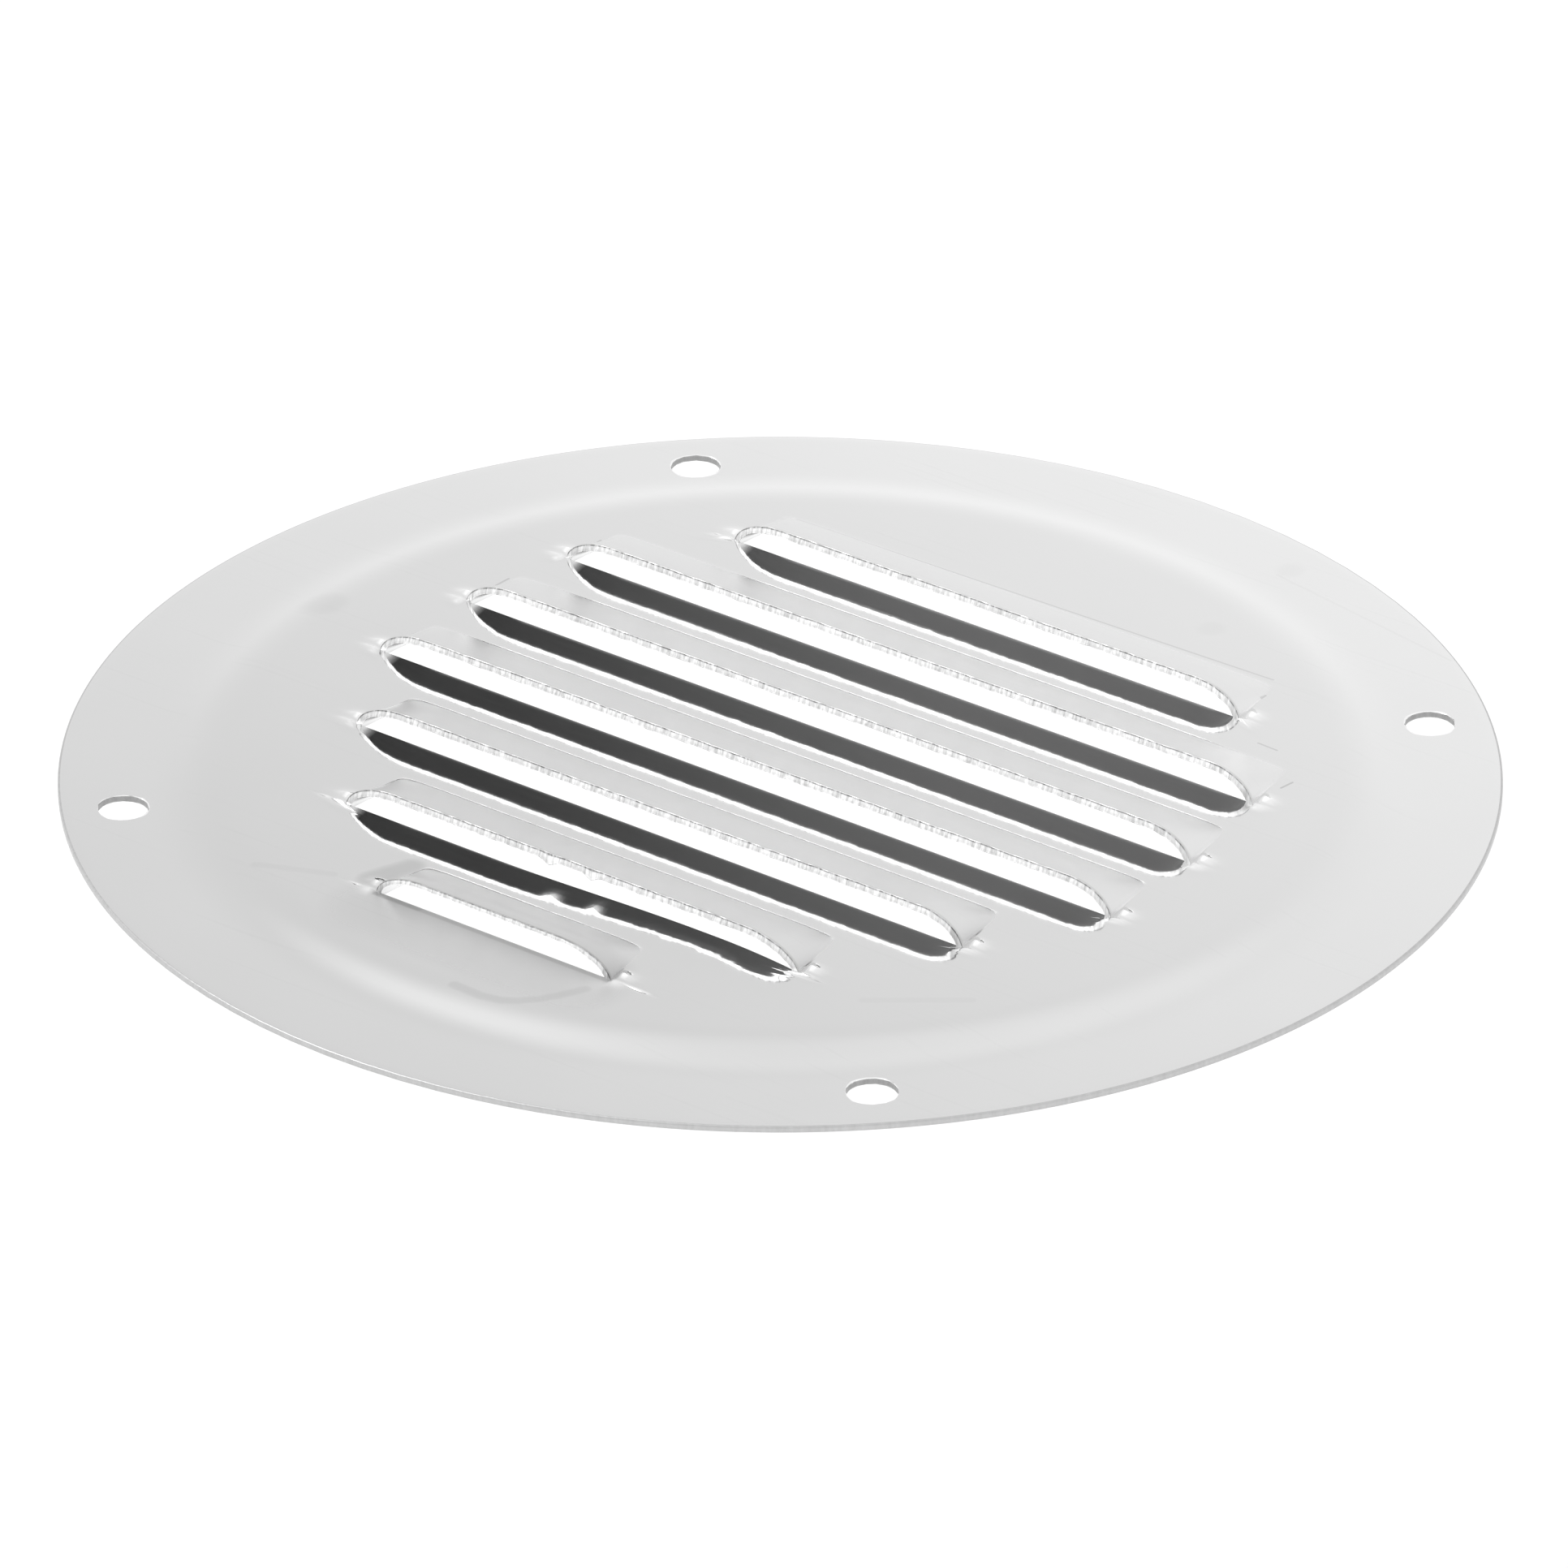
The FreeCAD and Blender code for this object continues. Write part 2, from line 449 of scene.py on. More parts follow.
# %% [markdown]
# ## Patches
# The cover has a panel, a ring around it, a rim, and walls at every slit and hole. They could be separate
# objects, but the real sheet is one piece. So each is kept as a patch, a grid of points with a finish
# number, and at the end all patches are put into one mesh and welded where their borders meet.

# %% Collecting patches
POLISHED, DULL, CUT, RAW = range(4)
patches = []
wall_shares = np.linspace(0, 1, 6)


def add_patch(points, finish, keep=None, depth=0.0, shade=0.0):
    """Keeps a grid of points (rows, columns, 3); keep is false for the cells to leave out.

    depth and shade are two numbers for the finish to read at every point. On a cut wall, depth runs from 0
    at the face to 1 at the back. On the face, depth is what the tone gains, mostly painted light and shade,
    and shade marks the roofs. On the back, depth is 0 inside a hood and shade marks the painted shade under
    the lips. Shade also marks the walls of the holes.
    """
    rows, columns = points.shape[:2]
    corner = np.arange(rows * columns).reshape(rows, columns)
    quads = np.stack([corner[:-1, :-1], corner[:-1, 1:], corner[1:, 1:], corner[1:, :-1]], axis=-1)
    quads = quads.reshape(-1, 4) if keep is None else quads[keep]
    spread = [np.broadcast_to(values, (rows, columns)).ravel() for values in (depth, shade)]
    patches.append((points.reshape(-1, 3), quads, finish, *spread))
    return len(quads)


def wall(first, last):
    """Points between two border lines, at the wall's shares of the way."""
    shares = wall_shares[:, None, None]
    return first[None] * (1 - shares) + last[None] * shares


print("rows of points in a wall", len(wall_shares))

# %% [markdown]
# ## Dark lips
# Under each lip the metal is painted dark, as painted shade for the dark under the hood. The polished panel
# in front mirrors it as a dark band, the strongest line in the picture. A texture could draw the band, but
# it belongs to the hood's inside, so it is a share at every point of the back.

# %% Shares of roof and lip
lip_width, lip_fade = 1.9, 0.4
shade_low, shade_high, shade_from = 0.25, 0.4, 0.1
least_lift, roof_edge, lump_clear = 0.02, 0.05, 2


def hood_lifts():
    """Distance of every panel point behind every mouth, and its lift by every hood."""
    behind = panel_y[..., None] - mouth_y
    lifts = [hood_lift(panel_x, behind[..., index], index) for index in range(len(mouth_y))]
    return behind, np.where(panel_lifted, np.stack(lifts, axis=-1), 0)


def roof_share():
    """0 on the panel, 1 on the roof of a hood."""
    return np.clip(mouth_lifts.max(axis=-1) / roof_edge, 0, 1)


def lip_shade():
    """1 on the underside of a hood within lip_width of its mouth, high enough and away from its left tip.

    The share is painted shade. The nearest hood and the hanging lumps stay bright.
    """
    near = np.clip((lip_width + lip_fade - behind_mouths) / lip_fade, 0, 1)
    high = np.clip((panel_back[..., 2:] - panel_top - shade_low) / (shade_high - shade_low), 0, 1)
    lump = lump_share(panel_x, behind_mouths[..., lump_hood])
    near[..., lump_hood] *= 1 - np.clip(lump_clear * lump, 0, 1)
    near[..., nearest] = 0
    inside = np.clip(panel_x[..., None] + mouth_halves - shade_from, 0, 1)
    return np.where(mouth_lifts > least_lift, near * high * inside, 0).max(axis=-1)


behind_mouths, mouth_lifts = hood_lifts()
print("points on roofs", int((roof_share() > 0).sum()), "points on dark lips", int((lip_shade() > 0).sum()))

# %% [markdown]
# ## Roofs that match the panel
# On the real cover the roofs are as light as the panel. Here each roof also mirrors the dark band of the
# mouth behind it. More light would lift the panel as well, so the roof's own tone gains a little where it
# mirrors a mouth, most near the fold, as painted light. The small lobes gain too, as a painted highlight,
# and a thin line of painted shade runs along each lip.

# %% What the face's tone gains
lobe_gain, roof_gain, mirror_gain, tip_gain = 0.25, 0.03, 0.13, 0.17
lip_loss, lip_line = 0.2, 0.2
roof_drift, mirror_fade, tip_length = 0.76, 2, 3
roof_blend = 0.1


def mirrored(index):
    """How far a roof mirrors the next mouth, 0 to 1, and how much of that lies near the mouth's left tip.

    A roof throws the view back almost level, roof_drift to the left for each millimetre towards the next
    mouth. Its right end turns away, so there the share falls with the square of the end curve.
    """
    if index + 1 == len(mouth_y):
        return 0, 0
    seen_x = panel_x - roof_drift * (mouth_y[index + 1] - panel_y)
    inside = mouth_halves[index + 1] - np.abs(seen_x)
    level = np.clip(end_share(panel_x, behind_mouths[..., index], index), 0, 1) ** 2
    share = np.clip(inside / mirror_fade + 0.5, 0, 1) * np.where(panel_x > 0, level, 1)
    return share, np.where(seen_x < 0, share * np.exp(-np.maximum(inside, 0) / tip_length), 0)


def paint_light_and_shade():
    """Painted light and shade: lobes gain, each roof gains by what it mirrors and how low it is, each lip
    loses.
    """
    gain = lobe_gain * sum(lobe_share(panel_x, panel_y, index) for index in range(len(mouth_y)))
    for index, height in enumerate(hood_heights):
        mirrors, near_tip = mirrored(index)
        roof = np.clip(mouth_lifts[..., index] / roof_blend, 0, 1)
        lip = np.exp(-(behind_mouths[..., index] / lip_line) ** 2)
        low = 1 - mouth_lifts[..., index] / height
        change = roof_gain * (mirrors + low - 1)
        change = change + (mirror_gain * mirrors + tip_gain * near_tip) * low
        gain = gain + roof * (change - lip_loss * lip)
    return gain


painted_light_gain = paint_light_and_shade()
print("tone gains from", round(float(painted_light_gain.min()), 3), "to", round(float(painted_light_gain.max()), 3))

# %% [markdown]
# ## The panel
# The panel is the sheet's face and its back, two patches with the same cells. The cells between the two
# copies of a slit's row would close the slit. They could be deleted from the mesh later, but it is simpler
# never to make them.

# %% Panel patches
panel_cells = np.ones((panel_x.shape[0] - 1, panel_x.shape[1] - 1), bool)
panel_cells[row_copy[:-1] >= 0] = False
print("panel cells", add_patch(panel_face, POLISHED, panel_cells, depth=painted_light_gain, shade=roof_share()),
      add_patch(panel_back, DULL, panel_cells, depth=1 - roof_share(), shade=lip_shade()))

# %% [markdown]
# ## Cut faces of the mouths
# The lance leaves two raw faces at each slit: one under the edge of the panel and one on the lip of the
# hood. Bridging two edge loops would fill them. Narrow grids made from the slit's own rows leave no gap
# either, and they also give every point its depth below the face.

# %% Cut faces


def add_cut_faces():
    """Both cut faces of every slit, from tip to tip."""
    columns = slice(middle_column - tip_index, middle_column + tip_index + 1)
    cells = 0
    for front in slit_rows:
        for row in (front, front + 1):
            points = wall(panel_face[row, columns], panel_back[row, columns])
            cells += add_patch(points, CUT, depth=wall_shares[:, None])
    return cells


print("cut face cells", add_cut_faces())

# %% [markdown]
# ## The S-bend and the flange
# Outside the panel the sheet is turned, so its grid runs round the axis. A Screw modifier could turn it,
# but its first ring has to use the ends of the panel's rows, so that the two grids meet point for point.

# %% Ring grid
rim_round = 0.2
inner_rings, bend_rings, flange_rings = 4, 12, 9
ring_radii = np.concatenate([np.linspace(panel_radius, top_radius, inner_rings)[:-1],
                             np.linspace(top_radius, foot_radius, bend_rings),
                             np.linspace(foot_radius, rim_radius - rim_round, flange_rings)[1:]])


def ring_angles():
    """Angles of the ends of the panel's rows, once round from the lowest Y, closed on itself."""
    right = np.arcsin(np.clip(np.unique(row_y) / panel_radius, -1, 1))
    left = np.pi - right[::-1]
    return np.concatenate([right, left[1:]])


def flat_points(x, y):
    """Face and back where no hood reaches."""
    return face_and_back(x, y, np.zeros(np.shape(x) + (len(mouth_y),), bool))


angles = ring_angles()
ring_x = np.cos(angles)[:, None] * ring_radii
ring_y = np.sin(angles)[:, None] * ring_radii
ring_face, ring_back = flat_points(ring_x, ring_y)
ring_cells = np.ones((ring_x.shape[0] - 1, ring_x.shape[1] - 1), bool)
print("ring grid", ring_x.shape)

# %% [markdown]
# ## Screw holes
# Four round holes were punched through the flange, and the punch rolled their edges over. A Boolean would
# cut them, but it leaves long thin faces. So a block of the ring's cells is left out around each hole and
# filled with rings that shrink from the block's outline to the hole.

# %% Screw holes
hole_radius, hole_circle_radius = 2.25, 58.0
hole_angles = np.radians([45.0, 135.0, 225.0, -45.0])
hole_block_reach = 3.4
hole_shares = np.array([0, 0.4, 0.7, 0.88, 0.95, 1.0])
hole_roll, hole_gain, bright_rings = 0.06, 0.25, 2


def block_outline(rows, columns):
    """Index pairs once round the border of a block of cells, closed on itself."""
    (r0, r1), (c0, c1) = rows, columns
    right, left = np.arange(r0, r1), np.arange(r1, r0, -1)
    up, down = np.arange(c0, c1), np.arange(c1, c0, -1)
    row = np.concatenate([np.full(len(up), r0), right, np.full(len(down), r1), left, [r0]])
    column = np.concatenate([up, np.full(len(right), c1), down, np.full(len(left), c0), [c0]])
    return row, column


def add_hole(angle):
    """Leaves a block out of the ring grid, fills it with rings that shrink to the hole, and adds its wall."""
    spread = hole_block_reach / hole_circle_radius
    turn = np.where(angles < angle - np.pi, angles + 2 * np.pi, angles)
    rows = np.flatnonzero(np.abs(turn - angle) < spread)[[0, -1]]
    columns = np.flatnonzero(np.abs(ring_radii - hole_circle_radius) < hole_block_reach)[[0, -1]]
    ring_cells[rows[0]:rows[1], columns[0]:columns[1]] = False
    outline = block_outline(rows, columns)
    border = np.stack([ring_x[outline], ring_y[outline]], axis=-1)
    centre = hole_circle_radius * np.array([math.cos(angle), math.sin(angle)])
    away = border - centre
    edge = centre + hole_radius * away / np.linalg.norm(away, axis=-1, keepdims=True)
    shares = hole_shares[:, None, None]
    points = border[None] * (1 - shares) + edge[None] * shares
    face, back = flat_points(points[..., 0], points[..., 1])
    face[-1, :, 2] -= hole_roll
    bright = np.arange(len(hole_shares)) >= len(hole_shares) - bright_rings
    add_patch(face, POLISHED, depth=hole_gain * bright[:, None])
    add_patch(back, DULL, depth=1.0)
    add_patch(wall(face[-1], back[-1]), RAW, depth=wall_shares[:, None], shade=1.0)


for hole_angle in hole_angles:
    add_hole(hole_angle)
print("ring cells", add_patch(ring_face, POLISHED, ring_cells),
      add_patch(ring_back, DULL, ring_cells, depth=1.0))

# %% [markdown]
# ## The rim
# The blank was punched from sheet, so the rim is a raw edge: rounded over a little at the face, straight
# below. A Bevel modifier would round it, but the lips as well. So it is a profile of seven points, carried
# round the axis at the ring grid's angles.

# %% Rim
rim_profile = np.array([(-rim_round, sheet), (-0.12, 0.585), (-0.05, 0.54), (0.0, 0.45),
                        (0.0, 0.1), (-0.06, 0.02), (-rim_round, 0.0)])


def add_rim():
    """The rim's profile, carried round the axis: each point is (r cos a, r sin a, height)."""
    radius = rim_radius + rim_profile[:, :1]
    height = np.broadcast_to(rim_profile[:, 1:], (len(rim_profile), len(angles)))
    points = np.stack([radius * np.cos(angles), radius * np.sin(angles), height], axis=-1)
    return add_patch(points, RAW, depth=1 - rim_profile[:, 1:] / sheet)


print("rim cells", add_rim())

# %% [markdown]
# ## One mesh
# Now the patches become one sheet of metal. A Weld modifier could join them, but done here at once, the
# edges left open can be counted. Welding closes their shared borders, the normals are turned outwards, and
# edges sharper than crisp_angle stay crisp. The mesh then rides on the part's only body in place of the CAD
# solid.

# %% Weld
weld_distance = 0.0008
crisp_angle = math.radians(38)


def weld(name):
    """Joins all patches into a closed mesh in metres, each face with its finish as material index."""
    starts = np.cumsum([0] + [len(patch[0]) for patch in patches[:-1]])
    points = np.concatenate([patch[0] for patch in patches]) * MM
    quads = np.concatenate([patch[1] + start for patch, start in zip(patches, starts)])
    finishes = np.concatenate([np.full(len(patch[1]), patch[2]) for patch in patches])
    mesh = bpy.data.meshes.new(name)
    mesh.from_pydata(points, [], quads)
    mesh.polygons.foreach_set("material_index", finishes.astype(np.int32))
    for place, label in ((3, "depth"), (4, "shade")):
        values = np.concatenate([patch[place] for patch in patches]).astype(np.float32)
        mesh.attributes.new(label, "FLOAT", "POINT").data.foreach_set("value", values)
    work = bmesh.new()
    work.from_mesh(mesh)
    bmesh.ops.remove_doubles(work, verts=work.verts, dist=weld_distance * MM)
    bmesh.ops.dissolve_degenerate(work, edges=work.edges, dist=weld_distance * MM)
    bmesh.ops.recalc_face_normals(work, faces=work.faces)
    open_edges = sum(not edge.is_manifold for edge in work.edges)
    work.to_mesh(mesh)
    work.free()
    mesh.polygons.foreach_set("use_smooth", np.ones(len(mesh.polygons), bool))
    mesh.set_sharp_from_angle(angle=crisp_angle)
    return mesh, open_edges


cover_mesh, open_edges = weld("pressed_sheet")
pressed_sheet = bpy.data.objects.new("pressed_sheet", cover_mesh)
bpy.context.scene.collection.objects.link(pressed_sheet)
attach(pressed_sheet, "root")
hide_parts("vent_cover")
cover_mesh.calc_loop_triangles()
print("triangles", len(cover_mesh.loop_triangles), "open edges", open_edges)

# %% [markdown]
# ## Writing shader maths
# A shader is a graph, but its maths reads best as an expression. This class wraps one socket. An operator
# between two of them adds a Math node, and node() adds any other kind.

# %% Shader maths


class Wire:
    """A node tree's socket that Python arithmetic works on."""

    def __init__(self, tree, socket=None):
        self.tree = tree
        self.socket = socket

    def node(self, kind, settings=None, inputs=None, output=0):
        """Adds a node, sets its settings first, then its inputs, and returns one of its outputs."""
        made = self.tree.nodes.new(kind)
        for key, value in (settings or {}).items():
            setattr(made, key, value)
        for key, value in (inputs or {}).items():
            if isinstance(value, Wire):
                self.tree.links.new(value.socket, made.inputs[key])
            else:
                made.inputs[key].default_value = value
        return Wire(self.tree, made.outputs[output] if len(made.outputs) else None)

    def math(self, operation, *values):
        """A Math node on the values."""
        return self.node("ShaderNodeMath", {"operation": operation}, dict(enumerate(values)))

    def __add__(self, other):
        return self.math("ADD", self, other)

    def __radd__(self, other):
        return self.math("ADD", other, self)

    def __sub__(self, other):
        return self.math("SUBTRACT", self, other)

    def __rsub__(self, other):
        return self.math("SUBTRACT", other, self)

    def __mul__(self, other):
        return self.math("MULTIPLY", self, other)

    def __rmul__(self, other):
        return self.math("MULTIPLY", other, self)

    def __pow__(self, other):
        return self.math("POWER", self, other)

    def ramp(self, low, high):
        """0 below low, 1 above high, smooth between."""
        return self.node("ShaderNodeMapRange", {"interpolation_type": "SMOOTHSTEP"},
                         {"Value": self, "From Min": low, "From Max": high})

# %% [markdown]
# ## Parts that every finish uses
# All four finishes are metal, with a grey that varies over the surface and, on the raw ones, a fine relief.
# These helpers make the pieces of such a finish: a new material, a noise, a grey, a stored share, and the
# surface itself.

# %% Shader helpers


def new_tree(name):
    """A new material with an empty node tree, and a wire to build it with."""
    material = bpy.data.materials.new(name)
    material.use_nodes = True
    material.node_tree.nodes.clear()
    return material, Wire(material.node_tree)


def stored(tree, label):
    """A number that the mesh keeps at every point."""
    return tree.node("ShaderNodeAttribute", {"attribute_name": label}, output="Fac")


def millimetres(tree):
    """Object coordinates x and y as wires in millimetres."""
    place = tree.node("ShaderNodeTexCoord", output="Object")
    axes = [tree.node("ShaderNodeSeparateXYZ", None, {"Vector": place}, output=axis) for axis in "XY"]
    return [axis * (1 / MM) for axis in axes]


def stretched_noise(tree, per_mm, detail=2.0, roughness=0.5, turn=(0, 0, 0)):
    """Noise on Object coordinates, with its own number of features per millimetre along each axis."""
    place = tree.node("ShaderNodeTexCoord", output="Object")
    scaled = tree.node("ShaderNodeMapping", {"vector_type": "POINT"},
                       {"Vector": place, "Rotation": turn, "Scale": [value / MM for value in per_mm]})
    return tree.node("ShaderNodeTexNoise", None,
                     {"Vector": scaled, "Scale": 1.0, "Detail": detail, "Roughness": roughness})


def grey(tree, value):
    """A varying number as a neutral colour."""
    return tree.node("ShaderNodeCombineColor", None, {"Red": value, "Green": value, "Blue": value})


def metal_surface(tree, tone, roughness, bump=None, bump_distance=0.0):
    """Principled metal with a varying grey and roughness, and a bump where one is given."""
    inputs = {"Metallic": 1.0, "Base Color": grey(tree, tone), "Roughness": roughness}
    if bump is not None:
        inputs["Normal"] = tree.node("ShaderNodeBump", None,
                                     {"Height": bump, "Strength": 1.0, "Distance": bump_distance * MM})
    surface = tree.node("ShaderNodeBsdfPrincipled", None, inputs)
    tree.node("ShaderNodeOutputMaterial", None, {"Surface": surface})

# %% [markdown]
# ## Marks of handling and painted shade
# The polished face has a few fine scratches and some soft smears. Along the nearest mouth, four lines are
# painted shade: thin dark lines at the panel's edge, and soft shade on the roof behind the lip and past its
# left tip. An image could hold them, but a line through a few points in millimetres is sharp at any size.
# Each mark has its points, its width, and how much it darkens the tone.

# %% Marks of handling and painted shade
scratches = (
    (((-26.0, 36.6), (26.3, 37.7)), 0.14, 0.16),
    (((32.1, 27.3), (34.2, 27.2)), 0.14, 0.20),
    (((27.5, 34.2), (27.5, 34.9)), 0.14, 0.20),
    (((38.5, 21.8), (38.7, 23.2)), 0.16, 0.25),
    (((-39.8, 10.0), (-39.7, 11.7)), 0.16, 0.20),
    (((-37.6, 20.1), (-37.7, 22.6)), 0.16, 0.18),
    (((13.9, 55.8), (35.8, 51.8)), 0.20, 0.03),
)
# Painted shade along the nearest mouth.
nearest_mouth_shadows = (
    (((-12.6, -41.0), (12.6, -41.0)), 0.40, 0.16),
    (((-12.6, -41.0), (-8.0, -41.0)), 0.50, 0.12),
    (((-12.0, -39.4), (12.0, -39.4)), 2.60, 0.08),
    (((-14.6, -39.2), (-13.2, -35.4)), 1.60, 0.18),
)
smears = (
    (((2.7, -49.4), (5.6, -49.5), (7.5, -49.1), (8.8, -48.3), (9.9, -47.2),
      (10.9, -45.7), (12.1, -43.3)), 0.70, 0.09),
    (((32.1, -30.5), (39.4, -24.9)), 0.60, 0.03),
    (((-24.2, -43.3), (-17.7, -40.6)), 0.60, 0.04),
    (((-50.0, -2.3), (-50.0, -1.6)), 2.50, 0.06),
    (((16.3, 42.1), (16.3, 42.4)), 1.60, 0.03),
    (((14.3, 57.1), (14.3, 57.4)), 1.60, 0.03),
)
marks = scratches + nearest_mouth_shadows + smears
rubbed_line, rubbed_width = ((-11.0, -43.0), (11.0, -43.0)), 5.5


def line_mark(x, y, points, width):
    """1 along the line through the points, falling to 0 at width from the nearest stretch of it."""
    squares = []
    for start, end in zip(points, points[1:]):
        run = Vector(end) - Vector(start)
        share = ((x - start[0]) * run.x + (y - start[1]) * run.y) * (1 / run.length_squared)
        share = share.math("MINIMUM", share.math("MAXIMUM", share, 0.0), 1.0)
        away = [(x - start[0]) - share * run.x, (y - start[1]) - share * run.y]
        squares.append(away[0] * away[0] + away[1] * away[1])
    nearest_square = squares[0]
    for square in squares[1:]:
        nearest_square = nearest_square.math("MINIMUM", nearest_square, square)
    return 1 - nearest_square.ramp(0.0, width ** 2)


print("marks", len(marks))

# %% [markdown]
# ## The polished face
# The face is polished almost to a mirror, so most of what it shows is the room. One plain metal would do
# that but look too clean. The tone drifts a little over the disc, lighter to the right and to the back as
# painted light, soft clouds of haze lie on it, the roofs are duller, and the panel in front of the nearest
# mouth is rubbed.

# %% Polished face
face_tone, painted_light_right, painted_light_far = 0.77, 0.0003, 0.0015
flange_gain, rubbed_loss = 0.04, 0.07


def polished_steel():
    """Tone: a base rising to the right and back as painted light, and on the flange, with haze, stored gain
    and marks.
    """
    material, tree = new_tree("polished_steel")
    x, y = millimetres(tree)
    roof, gain = stored(tree, "shade"), stored(tree, "depth")
    clouds = stretched_noise(tree, (0.05, 0.05, 0.05), detail=3.0)
    rubbing = stretched_noise(tree, (0.03, 2.4, 1.0), detail=1.0, turn=(0, 0, 0.5)).ramp(0.62, 0.75)
    flange = ((x * x + y * y) ** 0.5).ramp(top_radius, foot_radius)
    rubbed = line_mark(x, y, rubbed_line, rubbed_width)
    # Rising to the right and to the back is painted light.
    tone = face_tone + painted_light_right * x + painted_light_far * y + flange_gain * flange
    tone = tone + 0.03 * clouds - 0.01 * rubbing
    # gain is the stored painted light and shade on the roofs, lobes and lips, and a brighter ring at each
    # hole.
    tone = tone + gain - rubbed_loss * rubbed * (1 - roof)
    # Scratches and smears are wear; the lines along the nearest mouth are painted shade.
    wear_and_painted_shade = sum(dark * line_mark(x, y, points, width) for points, width, dark in marks)
    roughness = 0.05 + 0.06 * clouds + 0.03 * rubbing + 0.3 * roof + 0.4 * rubbed
    metal_surface(tree, tone * (1 - wear_and_painted_shade), roughness)
    return material


cover_mesh.materials.append(polished_steel())
print("finish", cover_mesh.materials[POLISHED].name)

# %% [markdown]
# ## The dull back
# The back was never polished, so it is greyer and has a fine grain. Inside the hoods it is kept paler, and
# under each lip it carries painted shade. Those shares are already in the mesh, so the finish only mixes
# them.

# %% Dull back
back_tone, plain_loss, lip_darkness = 0.86, 0.24, 0.815
right_x, right_y = 0.795, 0.606


def dull_back():
    """Tone: a base, less on the plain back, painted shade under the lips, a little less dark to the viewer's
    right.
    """
    material, tree = new_tree("dull_back")
    lip, plain = stored(tree, "shade"), stored(tree, "depth")
    x, y = millimetres(tree)
    along = (right_x * x + right_y * y).ramp(-30.0, 20.0)
    grain = stretched_noise(tree, (0.3, 3.0, 1.0), detail=3.0)
    # lip is painted shade: the dark under each lip, a little less to the right.
    tone = back_tone - plain_loss * plain - lip * (lip_darkness - 0.10 * along - 0.02 * grain)
    metal_surface(tree, tone, 0.10 + 0.04 * grain + 0.2 * lip)
    return material


cover_mesh.materials.append(dull_back())
print("finish", cover_mesh.materials[DULL].name)

# %% [markdown]
# ## Sheared lips
# The lance shears the upper part of a cut face bright and tears the rest, with ridges straight down the
# face. A picture of torn metal would repeat. Noise that is stretched along Z gives such ridges without end.
# A dotted dark line of painted shade marks the roll-over at the top. The stored depth says how far down the
# face a point lies.

# %% Sheared lips
cut_tone, ridge_gain = 0.78, 0.22


def cut_edge():
    """Tone: a base and upright ridges, less the dotted roll-over's painted shade, less a torn foot and dark
    ticks.
    """
    material, tree = new_tree("cut_edge")
    depth = stored(tree, "depth")
    ridges = stretched_noise(tree, (2.8, 2.8, 0.3), detail=3.0)
    ticks = stretched_noise(tree, (2.6, 0.3, 0.3), detail=2.0, roughness=0.7).ramp(0.50, 0.62)
    dots = stretched_noise(tree, (2.2, 2.2, 0.5), detail=2.0).ramp(0.38, 0.52)
    # roll is painted shade along the rolled-over top of the cut face.
    roll = (0.4 + 0.6 * dots) * (1 - depth.ramp(0.1, 0.26))
    torn = 0.25 * depth.ramp(0.55, 0.7) * (1 - depth.ramp(0.88, 0.96)) + 0.7 * ticks
    tone = (cut_tone + ridge_gain * ridges.ramp(0.4, 0.6)) * (1 - 0.6 * roll - 0.3 * torn)
    metal_surface(tree, tone, 0.25 + 0.15 * ridges, bump=ridges, bump_distance=0.05)
    return material


cover_mesh.materials.append(cut_edge())
print("finish", cover_mesh.materials[CUT].name)

# %% [markdown]
# ## Raw rim and holes
# The rim and the holes were punched, which leaves a plain edge, greyer than the lips. The walls of the
# holes see little light and are the darkest. One finish serves both, with the stored share to tell them
# apart.

# %% Raw rim and holes
raw_tone, hole_loss = 0.48, 0.2


def raw_edge():
    """Tone: a base with faint ridges, less in the holes as painted shade."""
    material, tree = new_tree("raw_edge")
    hole = stored(tree, "shade")
    ridges = stretched_noise(tree, (2.5, 2.5, 0.6), detail=3.0)
    tone = raw_tone + 0.16 * ridges - hole_loss * hole
    metal_surface(tree, tone, 0.3 + 0.1 * ridges, bump=ridges, bump_distance=0.03)
    return material


cover_mesh.materials.append(raw_edge())
print("finish", cover_mesh.materials[RAW].name)

# %% [markdown]
# ## The floor
# The mouths and holes show bright ground, and no shadow of the cover is to be seen. A floor right below
# would catch a shadow, so the cover hangs well above a pale one. The floor is see-through from below, for a
# look at the cover's back.

# %% Floor
floor_drop, floor_radius, floor_corners = 0.14, 6.0, 96
floor_white = 0.97


def make_floor():
    """A wide disc, pale from above and clear from below."""
    turns = np.linspace(0, 2 * np.pi, floor_corners, endpoint=False)
    points = np.stack([floor_radius * np.cos(turns), floor_radius * np.sin(turns),
                       np.full(len(turns), -floor_drop)], axis=-1)
    mesh = bpy.data.meshes.new("floor")
    mesh.from_pydata(points, [], [np.arange(len(turns))])
    material, tree = new_tree("pale_floor")
    behind = tree.node("ShaderNodeNewGeometry", output="Backfacing")
    white = (floor_white, floor_white, floor_white, 1)
    pale = tree.node("ShaderNodeBsdfDiffuse", None, {"Color": white})
    clear = tree.node("ShaderNodeBsdfTransparent")
    surface = tree.node("ShaderNodeMixShader", None, {0: behind, 1: pale, 2: clear})
    tree.node("ShaderNodeOutputMaterial", None, {"Surface": surface})
    mesh.materials.append(material)
    floor = bpy.data.objects.new("floor", mesh)
    bpy.context.scene.collection.objects.link(floor)
    return floor


print("floor at", round(make_floor().data.vertices[0].co.z, 3), "m")

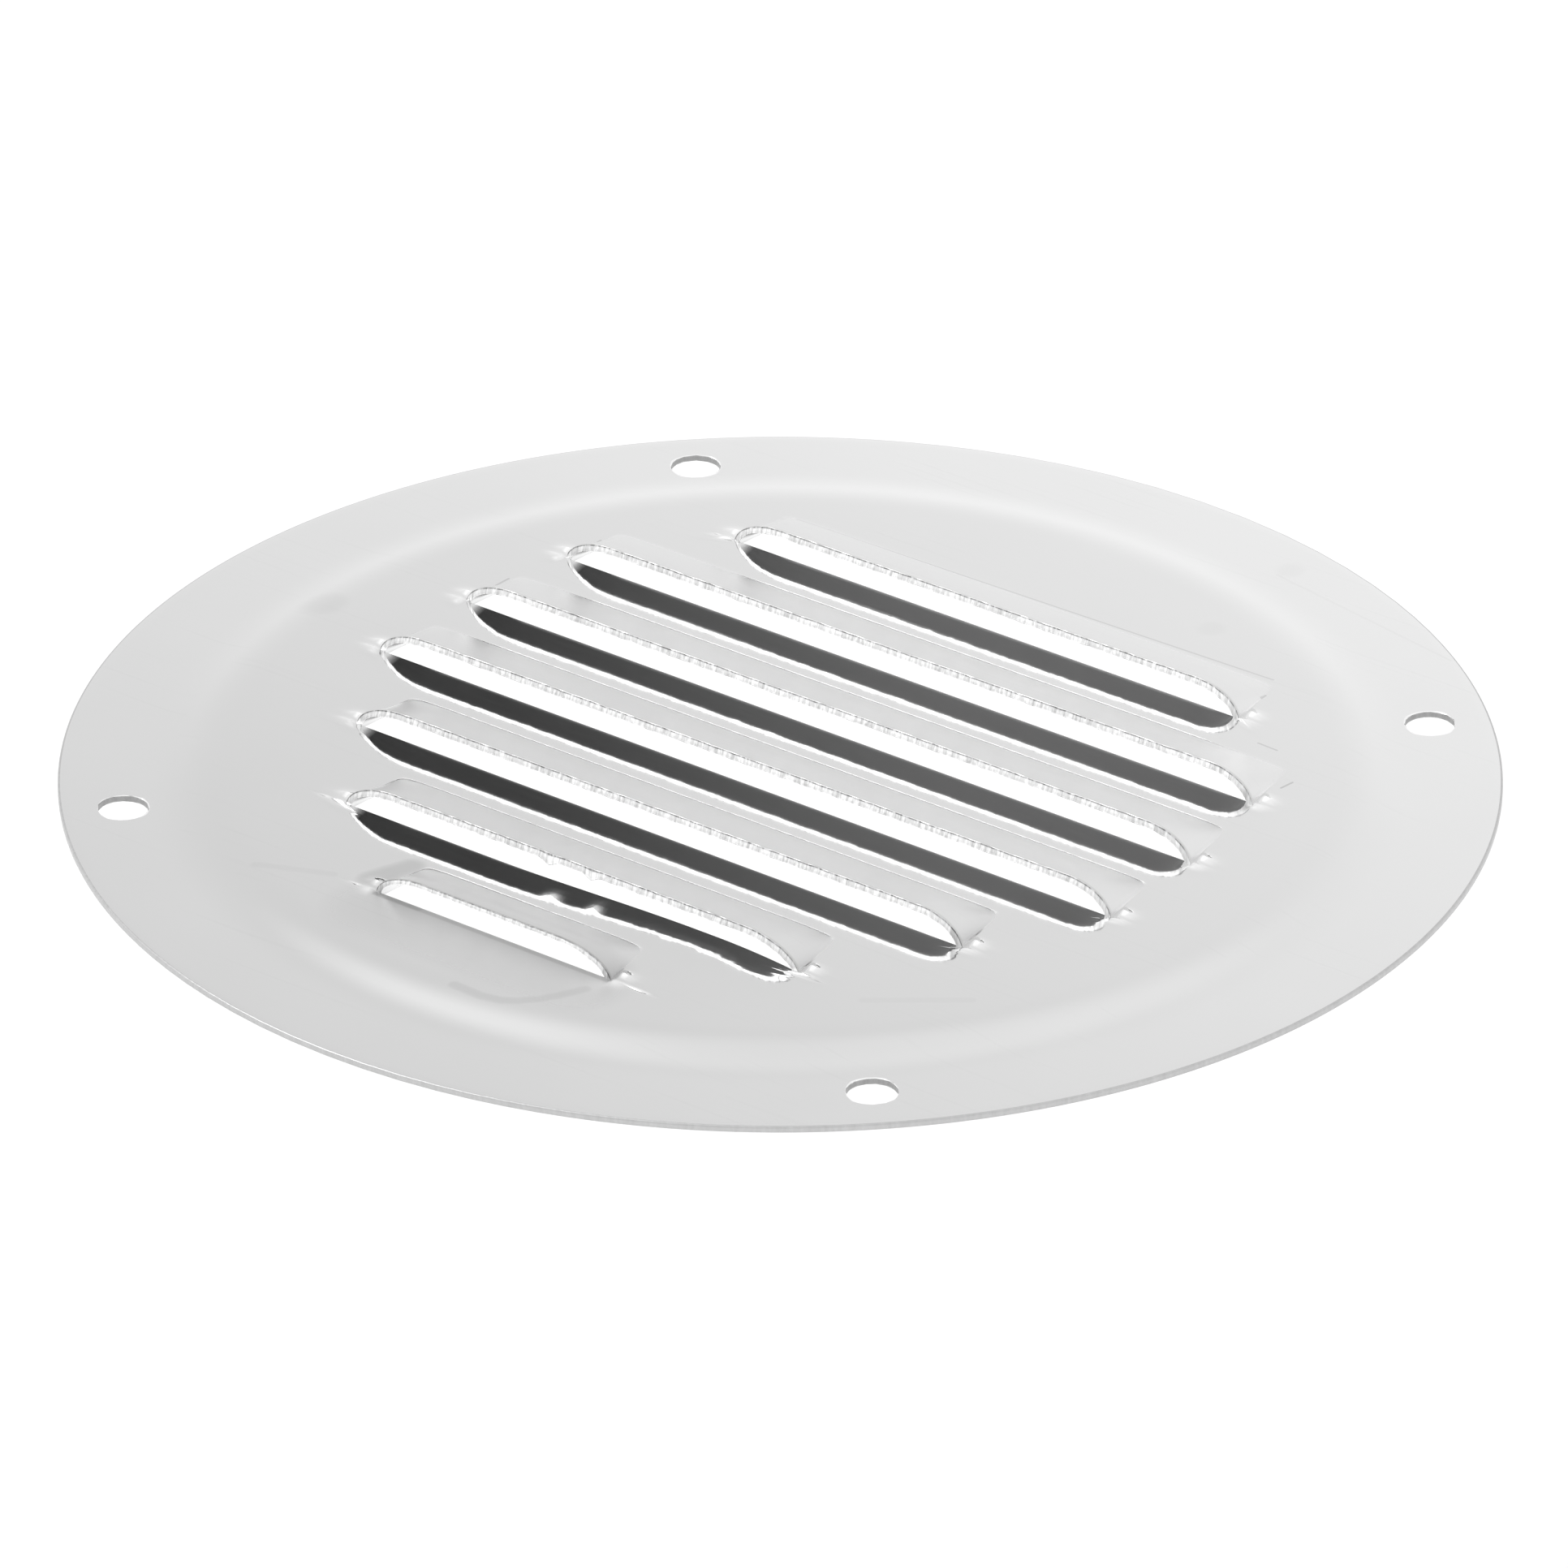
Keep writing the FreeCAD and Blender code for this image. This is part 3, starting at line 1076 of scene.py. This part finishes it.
# %% [markdown]
# ## The room
# Polished metal shows its surroundings, so lamps alone would leave it black. The light is a soft pale room
# that glows from all sides: a little more to the right, near the horizon, overhead and at the far left, and
# most of all overhead on the left. One large soft lamp brightens the floor.

# %% Room and lamp
room_glow, right_glow, low_glow, far_left_glow = 0.89, 0.05, 0.08, 0.15
high_glow, high_left_glow = 0.07, 0.21
lamp_size, lamp_power, lamp_place = 1.6, 14.0, (-1.65, -0.75, 2.4)


def make_room():
    """Brightness from the direction: a base, plus a share to the right, low down, high up, and far left."""
    world = bpy.data.worlds.new("soft_room")
    bpy.context.scene.world = world
    world.use_nodes = True
    world.node_tree.nodes.clear()
    tree = Wire(world.node_tree)
    towards = tree.node("ShaderNodeTexCoord", output="Generated")
    right = (math.cos(camera_azimuth), math.sin(camera_azimuth), 0)
    side = tree.node("ShaderNodeVectorMath", {"operation": "DOT_PRODUCT"}, {0: towards, 1: right},
                     output="Value")
    up = tree.node("ShaderNodeSeparateXYZ", None, {"Vector": towards}, output="Z")
    left = side * -1.0
    high = up.ramp(0.6, 0.8) * (high_glow + high_left_glow * left.ramp(0.0, 0.25))
    glow = room_glow + right_glow * side + low_glow * (1 - up.ramp(0.0, 0.6)) + high
    glow = glow + far_left_glow * left.ramp(0.5, 0.8)
    background = tree.node("ShaderNodeBackground", None, {"Color": grey(tree, glow), "Strength": 1.0})
    tree.node("ShaderNodeOutputWorld", None, {"Surface": background})


def make_lamp():
    """A large soft disc high on the left, which also shines back from lobes and edges."""
    data = bpy.data.lights.new("top_light", "AREA")
    data.shape = "DISK"
    data.size = lamp_size
    data.energy = lamp_power
    lamp = bpy.data.objects.new("top_light", data)
    lamp.location = lamp_place
    lamp.rotation_euler = lamp.location.to_track_quat("Z", "Y").to_euler()
    lamp.visible_camera = False
    bpy.context.scene.collection.objects.link(lamp)


make_room()
make_lamp()
view_settings = bpy.context.scene.view_settings
view_settings.view_transform = "Standard"
view_settings.look = "None"
print("lamp of", lamp_power, "W in a room of", room_glow)
